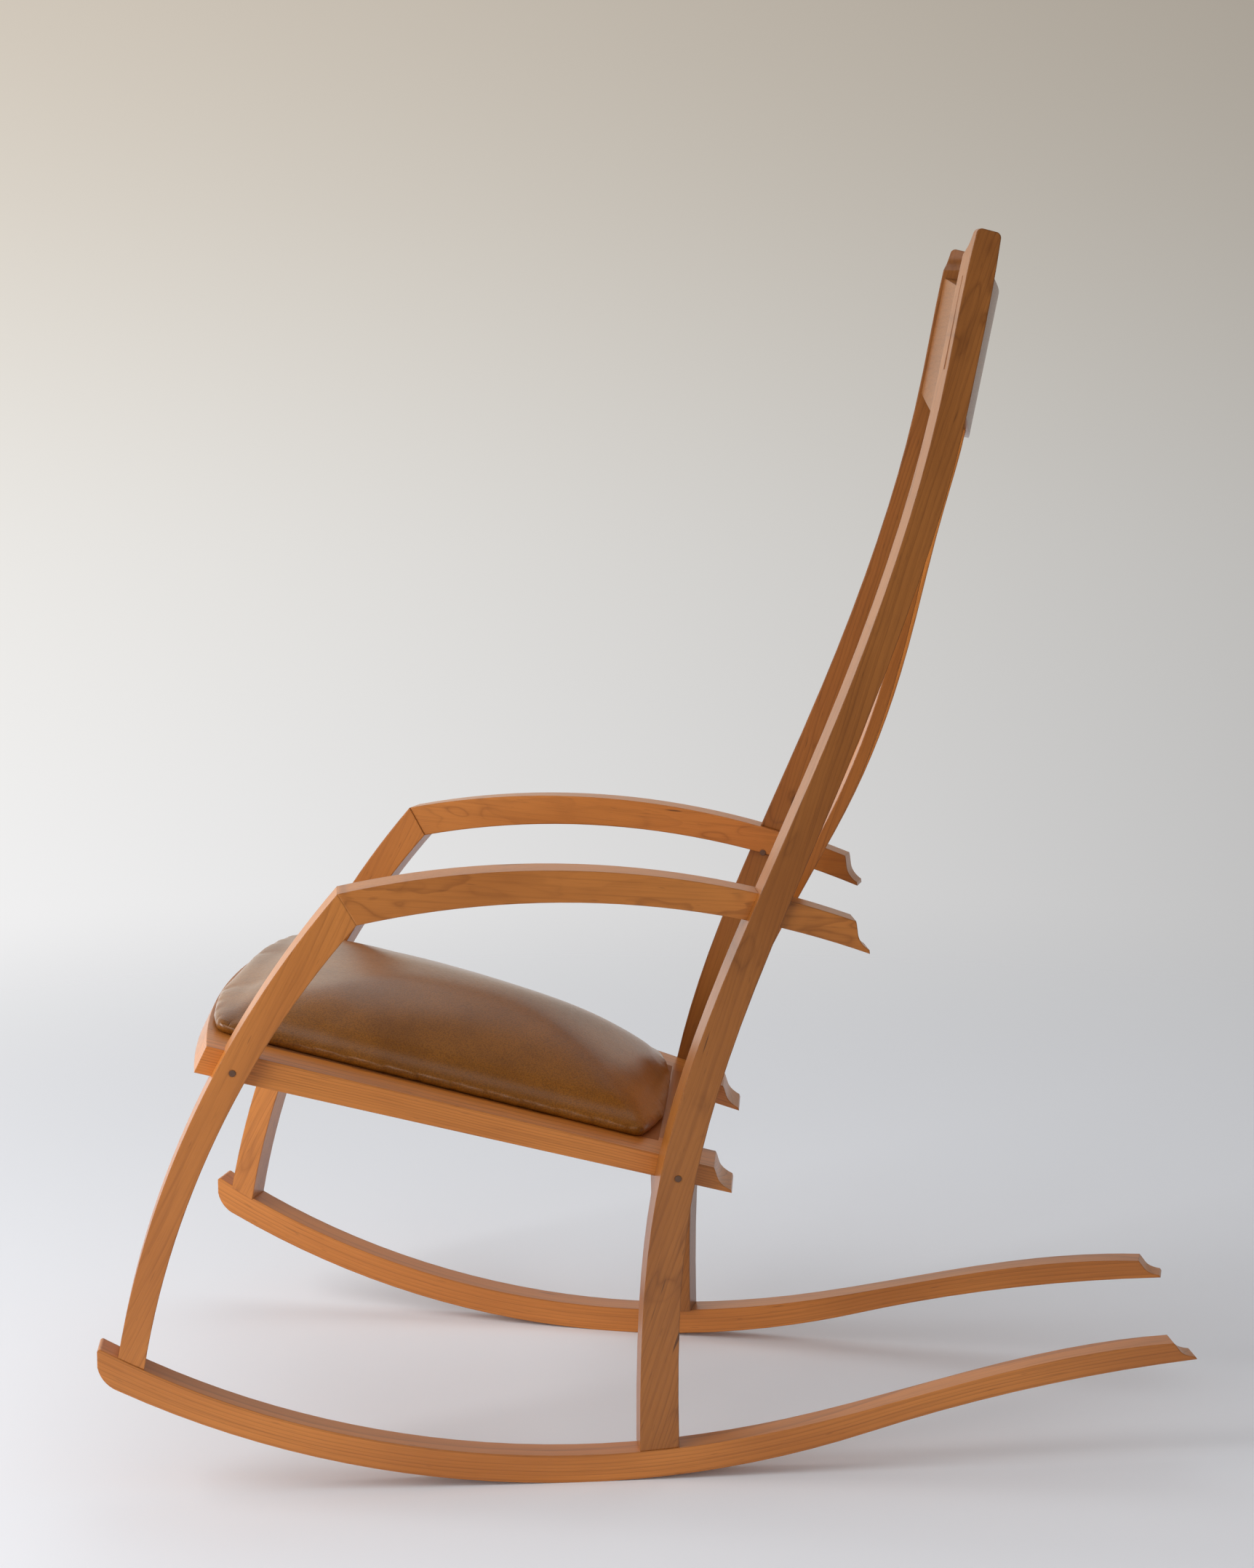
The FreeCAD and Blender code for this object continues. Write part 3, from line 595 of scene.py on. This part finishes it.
def seatNormal():
    slope = math.radians(seatSlope)
    return Vector((0, math.sin(slope), math.cos(slope)))


def pegMaterial():
    material, tree = newMaterial("peg_end_grain")
    place = objectPlace(tree)
    cells = cellDistance(tree, place, pegLook["cells"])
    soft = noise(tree, place, scale=pegLook["mottle"], detail=2.0)
    color = mixed(tree, soft, pegLook["dark"], pegLook["light"])
    color = mixed(tree, steps(tree, cells, *pegLook["pores"]), color, pegLook["pore"])
    normal = bump(tree, cells, *pegLook["bump"], Normal=roundedEdges(tree, pegLook["edge"]))
    surface(tree, color, roughFrom(tree, soft, pegLook["rough"]), normal)
    return material


def plywoodMaterial():
    material, tree = newMaterial("cherry_plywood")
    place = objectPlace(tree)
    depth = vecCalc(tree, "DOT_PRODUCT", place, tuple(seatNormal()), out=1)
    ply = calc(tree, "FRACT", times(tree, depth, 1 / plywoodLook["ply"]))
    streak = noise(tree, vecCalc(tree, "MULTIPLY", place, plywoodLook["streak"]), detail=3.0)
    color = mixed(tree, streak, plywoodLook["dark"], plywoodLook["light"])
    color = tinted(tree, color, ply, plywoodLook["band"], plywoodLook["strength"], plywoodLook["layer"])
    rough = roughFrom(tree, streak, plywoodLook["rough"])
    surface(tree, color, rough, bump(tree, streak, *plywoodLook["bump"]))
    return material


def screwMaterial():
    material, tree = newMaterial("zinc_screw")
    mottled = noise(tree, objectPlace(tree), scale=screwLook["mottle"], detail=2.0)
    color = mixed(tree, mottled, screwLook["dark"], screwLook["light"])
    rough = roughFrom(tree, mottled, screwLook["rough"])
    surface(tree, color, rough, bump(tree, mottled, *screwLook["bump"]), **screwLook["gloss"])
    return material


def dressSmallParts():
    pegs = pegMaterial()
    for name in ("leg_pegs", "post_pegs", "arm_pegs"):
        dress(cadNodes[name], pegs)
    grain = {**tongueGrain, "axes": boardAxes(tongueGrain["angle"], 1)}
    dress(cadNodes["elbow_tongues"], cherryMaterial("cherry_tongues", grain))
    dress(cadNodes["seat_board"], plywoodMaterial())
    dress(cadNodes["board_screws"], screwMaterial())


dressSmallParts()
print("small parts dressed")


# cushion: foam inflated as cloth and leather over it, heights above the seat board

cushion = {
    "weld": 0.00005,
    "voxel": 0.005,
    "crown": {"from": 0.010, "to": 0.034, "first": 200, "last": 25},
    "puff": {"held": 0.004, "pressure": 4.0, "frames": 14, "most": 0.004},
    "front": {"back": 0.0005, "cornerBack": 0.003, "reach": 0.10, "corner": 0.038, "halfWidth": 0.229,
              "taper": 0.14, "kept": 0.010, "softened": 60},
    "leather": 0.0016,
    "roll": {"height": 0.0085, "spread": 0.0075, "out": 0.0048, "tuck": 0.30, "upright": 0.2,
             "softened": 3},
    "crease": {"height": 0.0200, "spread": 0.0050, "in": 0.0016},
    "fill": 0.85,
}
leatherLook = {
    "dark": (0.205, 0.070, 0.0040), "light": (0.325, 0.118, 0.008),
    "blotch": (0.140, 0.045, 0.004), "groove": (0.080, 0.026, 0.003),
    "pebbles": 640.0, "creases": 170.0, "broad": 6.0, "blotches": 26.0,
    "broadBand": (0.30, 0.70), "blotchBand": (0.35, 0.75), "blotchStrength": 0.30,
    "grooves": (0.25, 0.75, 0.0, 0.42), "creaseHeight": 0.35,
    "rough": (0.32, 0.40), "roughBand": (0.25, 0.75), "bump": (0.34, 0.0005),
    "gloss": {"Specular_IOR_Level": 0.36, "Coat_Weight": 0.60, "Coat_Roughness": 0.24},
}
foamLook = {
    "dark": (0.74, 0.66, 0.42), "light": (0.82, 0.76, 0.54),
    "cells": 900.0, "mottle": 30.0, "rough": (0.85, 0.95), "bump": (0.50, 0.0006),
}


def clamped(value):
    return min(max(value, 0.0), 1.0)


def smoothShare(value):
    share = clamped(value)
    return share * share * (3.0 - 2.0 * share)


def copyOfNode(node, name):
    made = cadNodes[node].copy()
    made.data = cadNodes[node].data.copy()
    made.name = name
    made.parent = None
    for key in list(made.keys()):
        if key.startswith("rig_"):
            del made[key]
    bpy.context.scene.collection.objects.link(made)
    onlyThis(made)
    bpy.ops.object.mode_set(mode="EDIT")
    bpy.ops.mesh.select_all(action="SELECT")
    bpy.ops.mesh.remove_doubles(threshold=cushion["weld"])
    bpy.ops.mesh.normals_make_consistent(inside=False)
    bpy.ops.object.mode_set(mode="OBJECT")
    return made


def heightsOf(piece):
    normal = seatNormal()
    return [vertex.co.dot(normal) for vertex in piece.data.vertices]


def remeshed(piece):
    onlyThis(piece)
    piece.data.remesh_voxel_size = cushion["voxel"]
    bpy.ops.object.voxel_remesh()


def smoothed(piece, iterations, group=""):
    soften = piece.modifiers.new("smoothed", "SMOOTH")
    soften.vertex_group = group
    soften.factor = 0.5
    soften.iterations = iterations
    applyAll(piece)


def weighCrown(piece):
    low, high = cushion["crown"]["from"], cushion["crown"]["to"]
    heights = heightsOf(piece)
    base = min(heights)
    crown = piece.vertex_groups.new(name="crown")
    for index, height in enumerate(heights):
        crown.add([index], clamped((height - base - low) / (high - low)), "REPLACE")


def keepAbove(piece, base):
    normal = seatNormal()
    for vertex in piece.data.vertices:
        under = base - vertex.co.dot(normal)
        if under > 0:
            vertex.co += normal * under


def puffed(piece):
    puff = cushion["puff"]
    heights = heightsOf(piece)
    base = min(heights)
    rest = [vertex.co.copy() for vertex in piece.data.vertices]
    held = piece.vertex_groups.new(name="held")
    lowest = [index for index, height in enumerate(heights) if height < base + puff["held"]]
    held.add(lowest, 1.0, "REPLACE")
    cloth = piece.modifiers.new("cloth", "CLOTH")
    cloth.settings.use_pressure = True
    cloth.settings.uniform_pressure_force = puff["pressure"]
    cloth.settings.vertex_group_mass = "held"
    cloth.settings.effector_weights.gravity = 0
    cloth.point_cache.frame_start = 1
    cloth.point_cache.frame_end = puff["frames"]
    for step in range(1, puff["frames"] + 1):
        bpy.context.scene.frame_set(step)
    applyAll(piece)
    for vertex, place in zip(piece.data.vertices, rest):
        move = vertex.co - place
        if move.length > puff["most"]:
            vertex.co = place + move * (puff["most"] / move.length)
    keepAbove(piece, base)


def settleFront(piece, base):  # the front edge a little back, its corners rounder, no folds there
    normal = seatNormal()
    back = Vector((0, normal.z, -normal.y))
    front = cushion["front"]
    edge = min(vertex.co.y for vertex in piece.data.vertices)
    radius = front["corner"]
    group = piece.vertex_groups.new(name="front")
    for vertex in piece.data.vertices:
        behind = vertex.co.y - edge
        near = 1.0 - smoothShare(behind / front["reach"])
        aside = abs(vertex.co.x)
        drawn = front["back"] + front["cornerBack"] * (aside / front["halfWidth"]) ** 3
        wide = front["halfWidth"] - front["taper"] * behind
        across = clamped((aside - wide + radius) / radius)
        ahead = clamped((radius - behind) / radius)
        inward = radius * across * (1.0 - math.sqrt(1.0 - ahead ** 2 / 2))
        rearward = radius * ahead * (1.0 - math.sqrt(1.0 - across ** 2 / 2))
        vertex.co.x -= math.copysign(inward, vertex.co.x)
        vertex.co += back * (rearward + drawn * near)
        above = max(vertex.co.dot(normal) - base - front["kept"], 0.0)
        group.add([vertex.index], near * min(above / front["kept"], 1.0), "REPLACE")
    smoothed(piece, front["softened"], "front")


def pushed(piece, distance):
    places = [vertex.co + vertex.normal * distance for vertex in piece.data.vertices]
    for vertex, place in zip(piece.data.vertices, places):
        vertex.co = place


def rollEdge(piece, base):  # the soft roll round the foot, with a shallow crease above it
    normal = seatNormal()
    roll, crease = cushion["roll"], cushion["crease"]
    moves = []
    for vertex in piece.data.vertices:
        height = vertex.co.dot(normal) - base
        aside = vertex.normal - normal * vertex.normal.dot(normal)
        if aside.length > roll["upright"]:
            aside.normalize()
        fromTop = (height - roll["height"]) / roll["spread"]
        if fromTop > 0:
            out = roll["out"] * math.exp(-fromTop ** 4)
        else:
            out = roll["out"] * (1 - roll["tuck"] * fromTop ** 2)
        back = crease["in"] * math.exp(-((height - crease["height"]) / crease["spread"]) ** 2)
        moves.append(aside * (out - back))
    for vertex, move in zip(piece.data.vertices, moves):
        vertex.co += move
    smoothed(piece, roll["softened"])


def leatherOver(foam, base):
    leather = foam.copy()
    leather.data = foam.data.copy()
    leather.name = "leather_cover"
    bpy.context.scene.collection.objects.link(leather)
    onlyThis(leather)
    subdivided = leather.modifiers.new("finer", "SUBSURF")
    subdivided.levels = 1
    subdivided.render_levels = 1
    applyAll(leather)
    pushed(leather, cushion["leather"])
    rollEdge(leather, base)
    return leather


def leatherMaterial():
    look = leatherLook
    material, tree = newMaterial("saddle_leather")
    place = objectPlace(tree)
    cells = cellDistance(tree, place, look["pebbles"], {"feature": "SMOOTH_F1"},
                         Randomness=0.9, Smoothness=0.35)
    crease = noise(tree, place, scale=look["creases"], detail=3.0, rough=0.6)
    broad = noise(tree, place, scale=look["broad"], detail=3.0, rough=0.55)
    blotch = noise(tree, place, scale=look["blotches"], detail=3.0, rough=0.6)
    color = mixed(tree, steps(tree, broad, *look["broadBand"]), look["dark"], look["light"])
    color = tinted(tree, color, blotch, look["blotchBand"], look["blotchStrength"], look["blotch"])
    color = mixed(tree, steps(tree, cells, *look["grooves"]), color, look["groove"])
    height = calc(tree, "MULTIPLY_ADD", cells, -1.0, times(tree, crease, look["creaseHeight"]))
    rough = roughFrom(tree, crease, look["rough"], look["roughBand"])
    surface(tree, color, rough, bump(tree, height, *look["bump"]), **look["gloss"])
    return material


def foamMaterial():
    material, tree = newMaterial("upholstery_foam")
    place = objectPlace(tree)
    cells = cellDistance(tree, place, foamLook["cells"])
    soft = noise(tree, place, scale=foamLook["mottle"])
    color = mixed(tree, soft, foamLook["dark"], foamLook["light"])
    rough = roughFrom(tree, soft, foamLook["rough"])
    surface(tree, color, rough, bump(tree, cells, *foamLook["bump"]))
    return material


def makeCushion():
    foam = copyOfNode("seat_foam", "foam_core")
    base = min(heightsOf(foam))
    remeshed(foam)
    weighCrown(foam)
    smoothed(foam, cushion["crown"]["first"], "crown")
    puffed(foam)
    settleFront(foam, base)
    smoothed(foam, cushion["crown"]["last"], "crown")
    leather = leatherOver(foam, base)
    pushed(foam, -cushion["leather"])
    for piece, material in ((foam, foamMaterial()), (leather, leatherMaterial())):
        keepAbove(piece, base)
        onlyThis(piece)
        bpy.ops.object.shade_smooth()
        dress(piece, material)
        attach(piece, "root")
    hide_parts("seat_leather")
    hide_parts("seat_foam")


makeCushion()
print("cushion made")


bpy.context.scene.view_settings.view_transform = "Standard"
